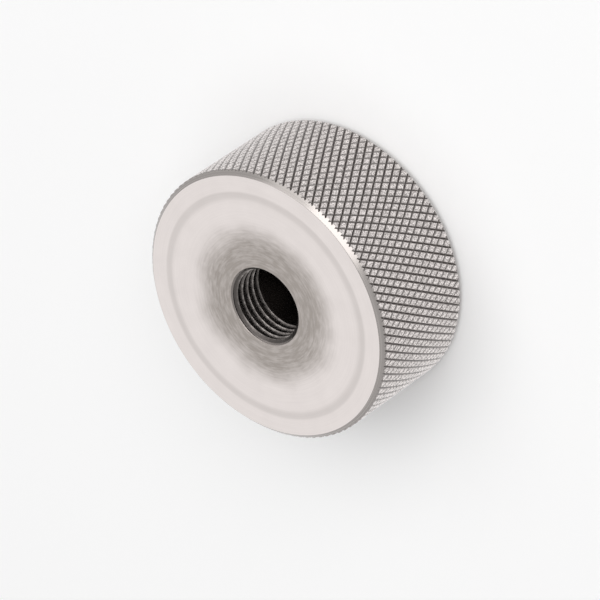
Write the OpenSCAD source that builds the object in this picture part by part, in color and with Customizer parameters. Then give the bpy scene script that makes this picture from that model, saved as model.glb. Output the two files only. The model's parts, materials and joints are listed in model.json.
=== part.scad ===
// Knurled knob: a turned steel disc with a diamond knurl round its rim and a
// blind tapped hole in its front face.
// It stands on its rear face at z = 0. Its axis is Z, and the hole opens upward.

/* [Body] */
// Diameter over the flat tops of the knurl
knob_d = 44.5; // [36:0.5:54]
// Thickness from the rear face to the front face
knob_t = 20; // [16:0.5:24]
// Size of the 45 degree chamfer at each rim
rim_chamfer = 0.75; // [0.5:0.05:1.2]

/* [Knurl] */
// Pitch of the grooves of one hand, measured round the rim
knurl_pitch = 1.4; // [1.15:0.05:2]
// Angle between the grooves and the knob's axis
knurl_angle = 30.5; // [25:0.5:40]
// Depth of the grooves below the flat tops
knurl_depth = 0.24; // [0.15:0.01:0.35]
// Included angle of the grooves' V section
groove_angle = 90; // [75:5:110]

/* [Tapped hole] */
// Diameter of the tapping drill, which is the thread's minor diameter
bore_d = 11.5; // [8:0.1:15]
// Included angle of the drill point at the bottom of the hole
point_angle = 118; // [90:1:140]
// Metal left between the drill point and the rear face
floor_t = 3.5; // [2:0.1:6]
// Size of the 45 degree countersink at the mouth
mouth_chamfer = 0.8; // [0.3:0.05:1.2]

/* [Front face] */
// From the chamfer's inner edge to the crisp edge of the shallow turned ring
ring_inset = 2.8; // [1.5:0.1:4]
// Width of the ring, from its crisp edge to where it runs out into the face
ring_w = 1.5; // [0.5:0.1:3]
// Depth of the ring at its crisp edge
ring_depth = 0.08; // [0.04:0.01:0.2]

/* [Hidden] */
$fn = 200;
steel = [0.76, 0.74, 0.72];

rim_r = knob_d / 2;
face_r = rim_r - rim_chamfer;
ring_r = face_r - ring_inset;

bore_r = bore_d / 2;
point_top = floor_t + bore_r / tan(point_angle / 2);

// Whole grooves of each hand round the rim. They cross on a lattice of rows,
// in which crossings and peaks take turns, half a pitch apart.
groove_count = round(PI * knob_d / knurl_pitch);
half_pitch = PI * knob_d / groove_count / 2;
half_turn = 180 / groove_count;
row_h = half_pitch / tan(knurl_angle);
row_count = ceil(knob_t / row_h);
first_row_z = (knob_t - row_count * row_h) / 2;
groove_r = rim_r - knurl_depth;
// The pyramids' points before they are turned off, where the V walls meet.
peak_r = groove_r + half_pitch * cos(knurl_angle) / tan(groove_angle / 2);

// Every place round the lattice, and the index of one of its points.
places = [0 : 2 * groove_count - 1];
function at(row, place) = row * 2 * groove_count + place % (2 * groove_count);
function is_crossing(row, place) = (row + place) % 2 == 0;

function row_z(row) = first_row_z + row * row_h;
function row_points(row) = [
    for (place = places)
        let (r = is_crossing(row, place) ? groove_r : peak_r, a = place * half_turn)
            [r * cos(a), r * sin(a), row_z(row)]
];

// The two faces between a place and the next one, from a row to the row above.
// The edge that they share is the bottom of a groove.
function cell_faces(row, place) =
    let (
        low = at(row, place),
        low_next = at(row, place + 1),
        high = at(row + 1, place),
        high_next = at(row + 1, place + 1)
    )
    is_crossing(row, place)
        ? [[low, high, high_next], [low, high_next, low_next]]
        : [[low, high, low_next], [low_next, high, high_next]];

// Cylinder covered with sharp pyramids, between the two hands of V grooves.
module knurled_stock() {
    foot_centre = (row_count + 1) * len(row_points(0));
    top_centre = foot_centre + 1;
    points = concat(
        [for (row = [0 : row_count]) each row_points(row)],
        [[0, 0, row_z(0)], [0, 0, row_z(row_count)]]
    );
    faces = concat(
        [for (row = [0 : row_count - 1]) for (place = places) each cell_faces(row, place)],
        [for (place = places) [foot_centre, at(0, place), at(0, place + 1)]],
        [for (place = places) [top_centre, at(row_count, place + 1), at(row_count, place)]]
    );
    polyhedron(points, faces);
}

// Half section of the turned disc, with the hole and the face ring.
module turned_section() {
    polygon([
        [0, 0],
        [face_r, 0],
        [rim_r, rim_chamfer],
        [rim_r, knob_t - rim_chamfer],
        [face_r, knob_t],
        [ring_r, knob_t],
        [ring_r, knob_t - ring_depth],
        [ring_r - ring_w, knob_t],
        [bore_r + mouth_chamfer, knob_t],
        [bore_r, knob_t - mouth_chamfer],
        [bore_r, point_top],
        [0, floor_t]
    ]);
}

// The disc. Turning takes the pyramids' points off and leaves flat diamonds,
// and the grooves run out in the chamfers.
module knurled_knob() {
    color(steel)
        intersection() {
            knurled_stock();
            rotate_extrude() turned_section();
        }
}

knurled_knob();
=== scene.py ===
"""The knurled knob's looks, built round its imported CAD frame.

It stands on its rear face, with +Z out of the hole."""

import json
import math
import random

import bmesh
import bpy
from mathutils import Matrix, Vector


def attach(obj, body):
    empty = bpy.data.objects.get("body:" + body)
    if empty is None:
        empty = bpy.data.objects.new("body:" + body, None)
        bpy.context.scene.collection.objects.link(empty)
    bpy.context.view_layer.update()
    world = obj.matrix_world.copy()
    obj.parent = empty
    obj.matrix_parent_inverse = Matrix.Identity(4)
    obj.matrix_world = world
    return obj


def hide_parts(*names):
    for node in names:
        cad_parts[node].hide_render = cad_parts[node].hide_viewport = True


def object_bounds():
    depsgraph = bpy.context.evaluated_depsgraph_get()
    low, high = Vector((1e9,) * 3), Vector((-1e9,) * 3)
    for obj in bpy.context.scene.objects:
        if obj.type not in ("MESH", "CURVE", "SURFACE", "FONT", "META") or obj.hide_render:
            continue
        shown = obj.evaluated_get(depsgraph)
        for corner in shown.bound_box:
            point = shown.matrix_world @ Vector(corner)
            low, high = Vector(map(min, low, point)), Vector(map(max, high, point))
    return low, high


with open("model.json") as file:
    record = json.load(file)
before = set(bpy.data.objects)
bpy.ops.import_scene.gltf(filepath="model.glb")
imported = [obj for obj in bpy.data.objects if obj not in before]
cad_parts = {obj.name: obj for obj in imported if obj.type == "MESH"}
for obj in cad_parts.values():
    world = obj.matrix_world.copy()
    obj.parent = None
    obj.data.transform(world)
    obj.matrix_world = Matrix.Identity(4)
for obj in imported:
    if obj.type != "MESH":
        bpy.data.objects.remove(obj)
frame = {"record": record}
cad_low, cad_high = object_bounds()

MM = 0.001

# The turned body. Its size and its hole come from the CAD model.
HOLE = next(m for m in frame["record"]["mounts"] if m["name"] == "threaded_hole")
RIM_R = cad_high.x
KNOB_T = cad_high.z
BORE_R = HOLE["dims"]["r_mm"] * MM
RIM_CHAMFER = 0.75 * MM
MOUTH_CHAMFER = 0.72 * MM
FLOOR_T = 3.5 * MM
POINT_ANGLE = math.radians(118)
RING_INSET = 2.8 * MM
RING_W = 1.5 * MM
RING_DEPTH = 0.016 * MM
RING_WALL = 0.4 * MM
RING_STEPS = 12
EDGE_BREAK = 0.06 * MM
FACE_R = RIM_R - RIM_CHAMFER
RING_R = FACE_R - RING_INSET
MOUTH_R = BORE_R + MOUTH_CHAMFER
POINT_TOP = FLOOR_T + BORE_R / math.tan(POINT_ANGLE / 2)

# The knurl, on the CAD model's lattice of groove crossings.
GROOVE_COUNT = 100
KNURL_ANGLE = math.radians(30.5)
KNURL_DEPTH = 0.24 * MM
BURR_DEPTH = 0.008 * MM
BURR_SLOPE = math.tan(math.radians(20))
BURR_VARIES = 0.06
GROOVE_R = RIM_R - KNURL_DEPTH
HALF_PITCH = math.pi * RIM_R / GROOVE_COUNT
HALF_TURN = math.pi / GROOVE_COUNT
ROW_H = HALF_PITCH / math.tan(KNURL_ANGLE)
ROW_COUNT = math.ceil(KNOB_T / ROW_H)
FOOT_Z = (KNOB_T - ROW_COUNT * ROW_H) / 2

# How far the normal leans at the points of a diamond's slightly dished top, as a tangent.
DISH = 0.20

# The thread: right-hand, 20 turns to the inch, 12.7 mm across its roots.
THREAD_PITCH = 1.27 * MM
THREAD_ROOT_R = 6.35 * MM
THREAD_LENGTH = 6.1 * MM
THREAD_ROOT_W = THREAD_PITCH / 8
THREAD_FLANK = math.tan(math.radians(30))
THREAD_START = math.radians(326)
THREAD_RUNOUT = math.radians(200)
RUNOUT_START = 0.05
CUTTER_OVERLAP = 0.15 * MM

TURN_STEPS = 400
THREAD_STEPS = 96
BREAK_STEPS = 3

# How faces are told apart: a wall of the knurl leans round the axis, and a chamfer leans along it.
GROOVE_SLACK = 0.02 * MM
WALL_LEAN = 0.05
RIM_LEAN = 0.3
FACED_LEAN = 0.99
TOP_SLACK = 0.001 * MM
AXIS_SLACK = 0.1 * MM

# Where the finishes and the painted light change, in millimetres: the radii where oil and grime fade, the
# ring's shade from the ring's edge, depths below the front face for the mouth's painted shade and painted
# highlight, distances round the thread's foot where the crests' painted highlights fade out, and how far
# beyond the hole's wall a crest is. The ring's shade is a share, and so is the grooves' darkening, partly
# grime and partly painted shade.
OIL_OUTER, OIL_INNER = 14.4, 8.9
GRIME_OUTER, GRIME_INNER = 15.0, 8.0
OIL_CREEP = 4.0
SHADE_INSIDE = (1.6, 0.5)
SHADE_OUTSIDE = (0.4, 0.15)
RING_SHADE = 0.3
GROOVE_GRIME_AND_SHADE = 0.85
GROOVE_FADE = 0.05 * MM
CREST_DEPTH = 0.35
TAPPED_BELOW, TAPPED_ABOVE = 0.5, 1.5
MOUTH_SHADE = (1.0, 0.5)
MOUTH_EDGE = (0.32, 0.20)

# The camera looks down on the threaded face, rolled as the knob was photographed lying on its rim.
VIEW_TURN = math.radians(2.13)
VIEW_TILT = math.radians(47.83)
VIEW_ROLL = math.radians(-124.4)
VIEW_DISTANCE = 766.5 * MM
VIEW_LENS = 306.2
VIEW_AIM = (5.315 * MM, 0.995 * MM)

# A plain white room. Where it is seen or mirrored its level is 1, and as light it is ROOM_LIGHT.
ROOM_LIGHT = 0.3
FLOOR_R = 1.2
FLOOR_GAP = 0.05 * MM
LAMP_DISTANCE = 2.0
OVERHEAD = math.radians(80)

# Each lamp: its azimuth, its rise, its size and the share of the floor's light that it gives.
LAMPS = [
    (math.radians(15), math.radians(40), 1.6, 0.22),
    (math.radians(70), math.radians(55), 1.8, 0.16),
    (0, math.radians(90), 3.0, 0.30),
]


# ---------------------------------------------------------------- meshes

def on_circle(r, angle, z):
    return (r * math.cos(angle), r * math.sin(angle), z)


def new_piece(name, points, faces):
    """A closed mesh object from points and faces. Open loops of edges are closed with flat faces."""
    mesh = bpy.data.meshes.new(name)
    mesh.from_pydata(points, [], faces)
    shape = bmesh.new()
    shape.from_mesh(mesh)
    rims = [edge for edge in shape.edges if edge.is_boundary]
    if rims:
        bmesh.ops.holes_fill(shape, edges=rims, sides=0)
    bmesh.ops.recalc_face_normals(shape, faces=shape.faces)
    shape.to_mesh(mesh)
    shape.free()
    piece = bpy.data.objects.new(name, mesh)
    bpy.context.scene.collection.objects.link(piece)
    return piece


def knurled_stock():
    """A cylinder covered with pyramids between two hands of V grooves.

    Near its top each wall leans over, so that turning leaves a narrow burr round every flat diamond."""
    places = 2 * GROOVE_COUNT
    peak_r = GROOVE_R + HALF_PITCH * math.cos(KNURL_ANGLE)
    burr_r = RIM_R - BURR_DEPTH
    burr_share = (burr_r - GROOVE_R) / (peak_r - GROOVE_R)
    apex_r = burr_r + BURR_SLOPE * (peak_r - burr_r)
    draw = random.Random(7)
    points, faces = [], []
    for row in range(ROW_COUNT + 1):
        for place in range(places):
            r = GROOVE_R if (row + place) % 2 == 0 else apex_r
            points.append(on_circle(r, place * HALF_TURN, FOOT_Z + row * ROW_H))

    def pyramid(row, place):
        apex = row * places + place
        peak = Vector(on_circle(peak_r, place * HALF_TURN, FOOT_Z + row * ROW_H))
        ring = [(row, place + 1), (row + 1, place), (row, place - 1), (row - 1, place)]
        corners = []
        knees = []
        for near_row, near_place in ring:
            inside = 0 <= near_row <= ROW_COUNT
            corner = near_row * places + near_place % places if inside else None
            corners.append(corner)
            if inside:
                share = burr_share * (1 + BURR_VARIES * draw.uniform(-1, 1))
                points.append(tuple(Vector(points[corner]).lerp(peak, share)))
            knees.append(len(points) - 1)
        for k in range(4):
            a, b = k, (k + 1) % 4
            if corners[a] is None or corners[b] is None:
                continue
            faces.append((corners[a], corners[b], knees[b]))
            faces.append((corners[a], knees[b], knees[a]))
            faces.append((knees[a], knees[b], apex))

    for row in range(ROW_COUNT + 1):
        for place in range(places):
            if (row + place) % 2:
                pyramid(row, place)
    return new_piece("stock", points, faces)


def broken_edge(before, corner, after):
    """A small arc in place of a sharp corner of the turned section."""
    corner = Vector(corner)
    start = (Vector(before) - corner).normalized() * EDGE_BREAK
    end = (Vector(after) - corner).normalized() * EDGE_BREAK
    shares = [step / BREAK_STEPS for step in range(BREAK_STEPS + 1)]
    return [tuple(corner + start * (1 - t) ** 2 + end * t ** 2) for t in shares]


def ring_depth(r):
    """How far the shallow ring lies below the front face at a radius."""
    share = (RING_R + RING_WALL - r) / (RING_W + RING_WALL)
    return RING_DEPTH * math.sin(math.pi * share) ** 2 if 0 < share < 1 else 0


def ring_section():
    """The ring's soft hollow, from its outer side to its inner side."""
    outer = RING_R + RING_WALL
    radii = [outer - (RING_W + RING_WALL) * step / RING_STEPS for step in range(RING_STEPS + 1)]
    return [(r, KNOB_T - ring_depth(r)) for r in radii]


def turned_section():
    """Half section (radius, height), from the middle of the rear face round to the drill point."""
    corners = [
        (0, 0),
        (FACE_R, 0),
        (RIM_R, RIM_CHAMFER),
        (RIM_R, KNOB_T - RIM_CHAMFER),
        (FACE_R, KNOB_T),
        *ring_section(),
        (MOUTH_R, KNOB_T),
        (BORE_R, KNOB_T - MOUTH_CHAMFER),
        (BORE_R, POINT_TOP),
        (0, FLOOR_T),
    ]
    broken = [corners.index(corner) for corner in ((FACE_R, 0), (FACE_R, KNOB_T), (MOUTH_R, KNOB_T))]
    section = []
    for k, corner in enumerate(corners):
        section += broken_edge(corners[k - 1], corner, corners[k + 1]) if k in broken else [corner]
    return section


def turned_body():
    """The section turned round the axis."""
    points = []
    rings = []
    faces = []
    for r, z in turned_section():
        first = len(points)
        steps = TURN_STEPS if r > 0 else 1
        points += [on_circle(r, 2 * math.pi * step / TURN_STEPS, z) for step in range(steps)]
        rings.append([first + step % steps for step in range(TURN_STEPS)])
    for low, high in zip(rings, rings[1:]):
        for step in range(TURN_STEPS):
            after = (step + 1) % TURN_STEPS
            corners = (low[step], low[after], high[after], high[step])
            faces.append(tuple(dict.fromkeys(corners)))
    return new_piece("knurled_knob_turned", points, faces)


def thread_cutter():
    """What the tap takes out: a V ridge wound on a right-hand helix, which fades in at its lower end."""
    inner_r = BORE_R - CUTTER_OVERLAP
    turn_count = (THREAD_LENGTH + THREAD_PITCH) / THREAD_PITCH
    sections = round(turn_count * THREAD_STEPS)
    points, faces = [], []
    for step in range(sections + 1):
        turned = 2 * math.pi * step / THREAD_STEPS
        share = min(1, turned / THREAD_RUNOUT)
        root_r = inner_r + (THREAD_ROOT_R - inner_r) * (RUNOUT_START + (1 - RUNOUT_START) * share)
        inner_half = THREAD_ROOT_W / 2 + (root_r - inner_r) * THREAD_FLANK
        root_half = THREAD_ROOT_W / 2
        z = KNOB_T - THREAD_LENGTH + THREAD_PITCH * turned / (2 * math.pi)
        angle = THREAD_START + turned
        points += [
            on_circle(inner_r, angle, z - inner_half),
            on_circle(root_r, angle, z - root_half),
            on_circle(root_r, angle, z + root_half),
            on_circle(inner_r, angle, z + inner_half),
        ]
    for step in range(sections):
        for k in range(4):
            a, b = 4 * step + k, 4 * step + (k + 1) % 4
            faces.append((a, b, b + 4, a + 4))
    return new_piece("thread", points, faces)


def cut(piece, tool, operation):
    """Applies one boolean to piece and removes the tool."""
    change = piece.modifiers.new("cut", "BOOLEAN")
    change.operation = operation
    change.solver = "MANIFOLD"
    change.object = tool
    evaluated = piece.evaluated_get(bpy.context.evaluated_depsgraph_get())
    mesh = bpy.data.meshes.new_from_object(evaluated)
    piece.modifiers.clear()
    piece.data = mesh
    bpy.data.objects.remove(tool)


# ---------------------------------------------------------------- surfaces

TURNED, RIM, CUT, HOLE_WALL = range(4)


def surface_of(face):
    """Which finish a face of the knob has, and whether it is one of the small flats of the knurl."""
    middle = face.center
    r = math.hypot(middle.x, middle.y)
    outward = Vector((middle.x / r, middle.y / r, 0))
    around = Vector((-outward.y, outward.x, 0))
    lean = abs(face.normal.z)
    if r > GROOVE_R - GROOVE_SLACK and abs(face.normal.dot(around)) > WALL_LEAN:
        return RIM, True
    if r > FACE_R - EDGE_BREAK and lean < RIM_LEAN:
        return RIM, False
    if r > FACE_R - EDGE_BREAK and lean < FACED_LEAN:
        return CUT, False
    if r < MOUTH_R and RIM_CHAMFER < middle.z < KNOB_T - TOP_SLACK:
        return HOLE_WALL, False
    return TURNED, False


def from_diamond(place):
    """How far a point of the rim is from the middle of its diamond, around and along, in half diamonds."""
    around = math.atan2(place.y, place.x) / HALF_TURN
    along = (place.z - FOOT_Z) / ROW_H
    column, row = round(around), round(along)
    if (column + row) % 2 == 0:
        if abs(around - column) > abs(along - row):
            column += 1 if around > column else -1
        else:
            row += 1 if along > row else -1
    return around - column, along - row


def smooth_normal(face, place, surface, flat):
    """The normal at a corner of a face: turned faces are round, and each diamond's top is slightly dished."""
    if flat or place.xy.length < AXIS_SLACK:
        return face.normal
    if surface == RIM:
        around, along = from_diamond(place)
        outward = Vector((place.x, place.y, 0)).normalized()
        sideways = Vector((-outward.y, outward.x, 0))
        return (outward - DISH * (around * sideways + along * Vector((0, 0, 1)))).normalized()
    r = place.xy.length
    inner, outer = ring_depth(r - EDGE_BREAK), ring_depth(r + EDGE_BREAK)
    if face.center.z > KNOB_T - 2 * RING_DEPTH and inner + outer > 0:
        slope = (outer - inner) / (2 * EDGE_BREAK)
        return Vector((slope * place.x / r, slope * place.y / r, 1)).normalized()
    turn = math.atan2(place.y, place.x) - math.atan2(face.center.y, face.center.x)
    return Matrix.Rotation(turn, 3, "Z") @ face.normal


def finish_surfaces(piece, materials):
    """Gives each face its finish, and each corner its smooth normal."""
    mesh = piece.data
    mesh.materials.clear()
    for material in materials:
        mesh.materials.append(material)
    normals = []
    for face in mesh.polygons:
        surface, flat = surface_of(face)
        face.material_index = surface
        face.use_smooth = True
        for loop in face.loop_indices:
            place = mesh.vertices[mesh.loops[loop].vertex_index].co
            normals.append(smooth_normal(face, place, surface, flat))
    mesh.normals_split_custom_set(normals)


# ---------------------------------------------------------------- nodes

class Nodes:
    """Adds shader nodes to one tree. Inputs are numbers, colours or other nodes' outputs."""

    def __init__(self, owner):
        self.tree = owner.node_tree
        self.tree.nodes.clear()

    def add(self, kind, **settings):
        node = self.tree.nodes.new("ShaderNode" + kind)
        for name, value in settings.items():
            setattr(node, name, value)
        return node

    def feed(self, socket, value):
        if isinstance(value, bpy.types.NodeSocket):
            self.tree.links.new(value, socket)
        elif socket.type == "RGBA":
            socket.default_value = (*value, 1)
        else:
            socket.default_value = value

    def math(self, operation, *values):
        node = self.add("Math", operation=operation)
        for socket, value in zip(node.inputs, values):
            self.feed(socket, value)
        return node.outputs[0]

    def ramp(self, value, start, end, low=0.0, high=1.0):
        """Goes smoothly from low to high as value goes from start to end."""
        node = self.add("MapRange", interpolation_type="SMOOTHSTEP")
        for socket, number in zip(node.inputs, (value, start, end, low, high)):
            self.feed(socket, number)
        return node.outputs[0]

    def mix(self, share, first, second):
        node = self.add("Mix", data_type="RGBA")
        self.feed(node.inputs["Factor"], share)
        self.feed(node.inputs[6], first)
        self.feed(node.inputs[7], second)
        return node.outputs[2]

    def noise(self, vector, scale, detail=2.0, roughness=0.5):
        node = self.add("TexNoise")
        self.feed(node.inputs["Vector"], vector)
        self.feed(node.inputs["Scale"], scale)
        self.feed(node.inputs["Detail"], detail)
        self.feed(node.inputs["Roughness"], roughness)
        return node.outputs["Fac"]

    def vector(self, x, y, z):
        node = self.add("CombineXYZ")
        for socket, value in zip(node.inputs, (x, y, z)):
            self.feed(socket, value)
        return node.outputs[0]

    def bump(self, height, distance, strength=1.0):
        node = self.add("Bump")
        self.feed(node.inputs["Height"], height)
        self.feed(node.inputs["Distance"], distance)
        self.feed(node.inputs["Strength"], strength)
        return node.outputs[0]


class Place:
    """Where a point of the knob is, in millimetres: its own coordinates, its radius and its height."""

    def __init__(self, nodes):
        self.raw = nodes.add("TexCoord").outputs["Object"]
        scaled = nodes.add("VectorMath", operation="SCALE")
        nodes.feed(scaled.inputs[0], self.raw)
        nodes.feed(scaled.inputs["Scale"], 1 / MM)
        self.point = scaled.outputs[0]
        split = nodes.add("SeparateXYZ")
        nodes.feed(split.inputs[0], self.point)
        self.x, self.y, self.z = split.outputs
        squares = [nodes.math("MULTIPLY", side, side) for side in (self.x, self.y)]
        self.r = nodes.math("SQRT", nodes.math("ADD", *squares))

    def circles(self, nodes, across, along):
        """Coordinates that change quickly across a turned line and slowly along it."""
        reach = [nodes.math("MULTIPLY", side, along) for side in (self.x, self.y)]
        depth = nodes.math("MULTIPLY", nodes.math("SUBTRACT", self.r, self.z), across)
        return nodes.vector(*reach, depth)


def metal(name, build):
    """A steel material. build gives its colour, roughness and normal from the place on the knob."""
    material = bpy.data.materials.new(name)
    material.use_nodes = True
    nodes = Nodes(material)
    shader = nodes.add("BsdfPrincipled")
    colour, roughness, normal = build(nodes, Place(nodes))
    nodes.feed(shader.inputs["Base Color"], colour)
    nodes.feed(shader.inputs["Roughness"], roughness)
    nodes.feed(shader.inputs["Normal"], normal)
    shader.inputs["Metallic"].default_value = 1
    output = nodes.add("OutputMaterial")
    nodes.feed(output.inputs["Surface"], shader.outputs[0])
    return material


def turned_face(nodes, place):
    """Fine circular tool marks.

    The front face also has the ring's shade, and old oil that has crept out of the hole."""
    front = nodes.ramp(place.z, 0.0, KNOB_T / MM)
    creep = nodes.noise(place.point, 0.16, 3.0)
    reach = nodes.math("ADD", place.r, nodes.math("MULTIPLY", nodes.math("SUBTRACT", creep, 0.5), OIL_CREEP))
    lines = nodes.noise(place.circles(nodes, 5.0, 0.10), 1.0, 3.0, 0.6)
    arcs = nodes.noise(place.circles(nodes, 2.6, 0.55), 1.0, 3.0, 0.6)
    blotch = nodes.noise(place.point, 0.30, 3.0)
    colour = nodes.mix(blotch, (0.72, 0.668, 0.65), (0.79, 0.735, 0.715))
    oil = nodes.ramp(reach, OIL_OUTER, OIL_INNER)
    stain = nodes.math("MULTIPLY", oil, nodes.ramp(arcs, 0.25, 0.75, 0.70, 1.15))
    colour = nodes.mix(nodes.math("MULTIPLY", stain, front), colour, (0.36, 0.325, 0.30))
    edge = RING_R / MM
    ring = nodes.math(
        "MULTIPLY",
        nodes.ramp(place.r, edge - SHADE_INSIDE[0], edge - SHADE_INSIDE[1]),
        nodes.ramp(place.r, edge + SHADE_OUTSIDE[0], edge - SHADE_OUTSIDE[1]),
    )
    ring = nodes.math("MULTIPLY", ring, nodes.math("MULTIPLY", front, RING_SHADE))
    colour = nodes.mix(ring, colour, (0.38, 0.35, 0.335))
    grime = nodes.ramp(reach, GRIME_OUTER, GRIME_INNER, 0.04, 0.22)
    shade = nodes.math("MULTIPLY", nodes.ramp(lines, 0.35, 0.65), grime)
    colour = nodes.mix(shade, colour, (0.27, 0.25, 0.235))
    roughness = nodes.ramp(lines, 0.2, 0.8, 0.30, 0.36)
    return colour, roughness, nodes.bump(lines, 0.004 * MM)


def knurled_rim(nodes, place):
    """Speckled burnished flats, with walls that darken towards the groove: partly grime, partly painted
    shade.
    """
    speck = nodes.noise(place.point, 5.0, 3.0, 0.6)
    depth = nodes.ramp(place.r, RIM_R / MM, (GROOVE_R + GROOVE_FADE) / MM)
    fleck = nodes.ramp(speck, 0.35, 0.65)
    colour = nodes.mix(fleck, (0.30, 0.277, 0.268), (0.90, 0.84, 0.82))
    # Darker towards the groove's bottom: partly grime, partly painted shade in the groove.
    colour = nodes.mix(nodes.math("MULTIPLY", depth, GROOVE_GRIME_AND_SHADE), colour, (0.11, 0.10, 0.095))
    roughness = nodes.ramp(speck, 0.3, 0.7, 0.16, 0.24)
    return colour, roughness, nodes.bump(speck, 0.003 * MM)


def cut_chamfer(nodes, place):
    """A grey cut with the tool's fine lines round it."""
    lines = nodes.noise(place.circles(nodes, 3.0, 0.04), 1.0, 3.0, 0.6)
    colour = nodes.mix(lines, (0.22, 0.205, 0.195), (0.42, 0.39, 0.375))
    return colour, nodes.ramp(lines, 0.2, 0.8, 0.2, 0.3), nodes.bump(lines, 0.004 * MM)


def tapped_hole(nodes, place):
    """Dark steel, partly oil and partly painted shade of the hole. The thread's crests have painted
    highlights, brighter in patches, the mouth has painted shade just inside it, and its very edge a painted
    highlight.
    """
    speck = nodes.noise(place.point, 2.4, 4.0, 0.65)
    top = KNOB_T / MM
    thread_foot = (KNOB_T - THREAD_LENGTH) / MM
    # Painted highlights on the thread's crests along the tapped length, brighter in patches, over near-black
    # steel that is partly oil and partly painted shade.
    crest = nodes.ramp(place.r, BORE_R / MM + CREST_DEPTH, BORE_R / MM)
    tapped = nodes.ramp(place.z, thread_foot - TAPPED_BELOW, thread_foot + TAPPED_ABOVE)
    painted_highlight_patches = nodes.ramp(nodes.noise(place.point, 1.1, 2.0), 0.42, 0.62, 0.25, 1.0)
    painted_crest_highlight = nodes.math("MULTIPLY", nodes.math("MULTIPLY", crest, tapped), painted_highlight_patches)
    colour = nodes.mix(painted_crest_highlight, (0.10, 0.09, 0.085), (0.34, 0.315, 0.30))
    # Painted shade just inside the mouth.
    painted_mouth_shade = nodes.ramp(place.z, top - MOUTH_SHADE[0], top - MOUTH_SHADE[1])
    colour = nodes.mix(painted_mouth_shade, colour, (0.08, 0.072, 0.068))
    # A painted highlight on the mouth's very edge.
    edge = nodes.ramp(place.z, top - MOUTH_EDGE[0], top - MOUTH_EDGE[1])
    colour = nodes.mix(edge, colour, (0.20, 0.18, 0.17))
    return colour, nodes.ramp(speck, 0.3, 0.7, 0.22, 0.42), nodes.bump(speck, 0.04 * MM)


# ---------------------------------------------------------------- studio

def studio_world():
    """A plain white room, at full strength where the camera or the steel sees it."""
    world = bpy.data.worlds.new("studio")
    world.use_nodes = True
    bpy.context.scene.world = world
    nodes = Nodes(world)
    path = nodes.add("LightPath").outputs
    seen = nodes.math("MAXIMUM", path["Is Camera Ray"], path["Is Glossy Ray"])
    seen = nodes.math("MAXIMUM", seen, path["Is Transmission Ray"])
    background = nodes.add("Background")
    nodes.feed(background.inputs["Color"], (1, 1, 1))
    nodes.feed(background.inputs["Strength"], nodes.ramp(seen, 0, 1, ROOM_LIGHT, 1))
    output = nodes.add("OutputWorld")
    nodes.feed(output.inputs["Surface"], background.outputs[0])


def floor_material():
    """Pale, and clear from behind so that the knob can be seen from below."""
    material = bpy.data.materials.new("floor_white")
    material.use_nodes = True
    nodes = Nodes(material)
    paint = nodes.add("BsdfDiffuse")
    nodes.feed(paint.inputs["Color"], (0.97, 0.97, 0.97))
    clear = nodes.add("BsdfTransparent")
    choose = nodes.add("MixShader")
    nodes.feed(choose.inputs[0], nodes.add("NewGeometry").outputs["Backfacing"])
    nodes.feed(choose.inputs[1], paint.outputs[0])
    nodes.feed(choose.inputs[2], clear.outputs[0])
    output = nodes.add("OutputMaterial")
    nodes.feed(output.inputs["Surface"], choose.outputs[0])
    return material


def make_floor():
    """A plain floor just under the knob.

    The steel mirrors the white room in its place, so that the rear face isn't black from below."""
    bpy.ops.mesh.primitive_circle_add(vertices=96, radius=FLOOR_R, fill_type="NGON")
    floor = bpy.context.object
    floor.name = "floor"
    floor.location.z = -FLOOR_GAP
    floor.data.materials.append(floor_material())
    floor.visible_glossy = False


def make_lamps():
    """Round soft lamps, which light the floor and draw the knob's shadow on it.

    The steel doesn't mirror the overhead one, which would add to the white room and clip the front face."""
    for number, (turn, rise, size, share) in enumerate(LAMPS):
        lamp = bpy.data.lights.new(f"soft_lamp_{number}", "AREA")
        lamp.shape = "DISK"
        lamp.size = size
        spread = 1 + (size / 2 / LAMP_DISTANCE) ** 2
        lamp.energy = share * spread * (math.pi * LAMP_DISTANCE) ** 2 / math.sin(rise)
        holder = bpy.data.objects.new(f"soft_lamp_{number}", lamp)
        way = Vector(on_circle(math.cos(rise), VIEW_TURN + turn, math.sin(rise)))
        holder.location = way * LAMP_DISTANCE
        holder.rotation_euler = way.to_track_quat("Z", "Y").to_euler()
        holder.visible_glossy = rise < OVERHEAD
        bpy.context.scene.collection.objects.link(holder)


def make_camera():
    face = Vector((0, 0, KNOB_T))
    toward = Vector(on_circle(math.sin(VIEW_TILT), VIEW_TURN, math.cos(VIEW_TILT)))
    level = toward.cross(Vector((0, 0, -1))).normalized()
    upright = toward.cross(level)
    right = math.cos(VIEW_ROLL) * level + math.sin(VIEW_ROLL) * upright
    up = math.cos(VIEW_ROLL) * upright - math.sin(VIEW_ROLL) * level
    place = face + toward * VIEW_DISTANCE
    aim = face + VIEW_AIM[0] * right + VIEW_AIM[1] * up
    back = (place - aim).normalized()
    right = up.cross(back).normalized()
    up = back.cross(right)
    camera = bpy.data.objects.new("camera", bpy.data.cameras.new("camera"))
    camera.data.lens = VIEW_LENS
    camera.data.sensor_width = 36
    camera.matrix_world = Matrix.Translation(place) @ Matrix((right, up, back)).transposed().to_4x4()
    bpy.context.scene.collection.objects.link(camera)
    bpy.context.scene.camera = camera


# ---------------------------------------------------------------- run

knob = turned_body()
cut(knob, thread_cutter(), "DIFFERENCE")
cut(knob, knurled_stock(), "INTERSECT")
finish_surfaces(knob, [
    metal("turned_face", turned_face),
    metal("knurled_rim", knurled_rim),
    metal("cut_chamfer", cut_chamfer),
    metal("tapped_hole", tapped_hole),
])
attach(knob, "root")
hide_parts("knurled_knob")

make_floor()
make_lamps()
make_camera()
studio_world()
bpy.context.scene.view_settings.view_transform = "Standard"
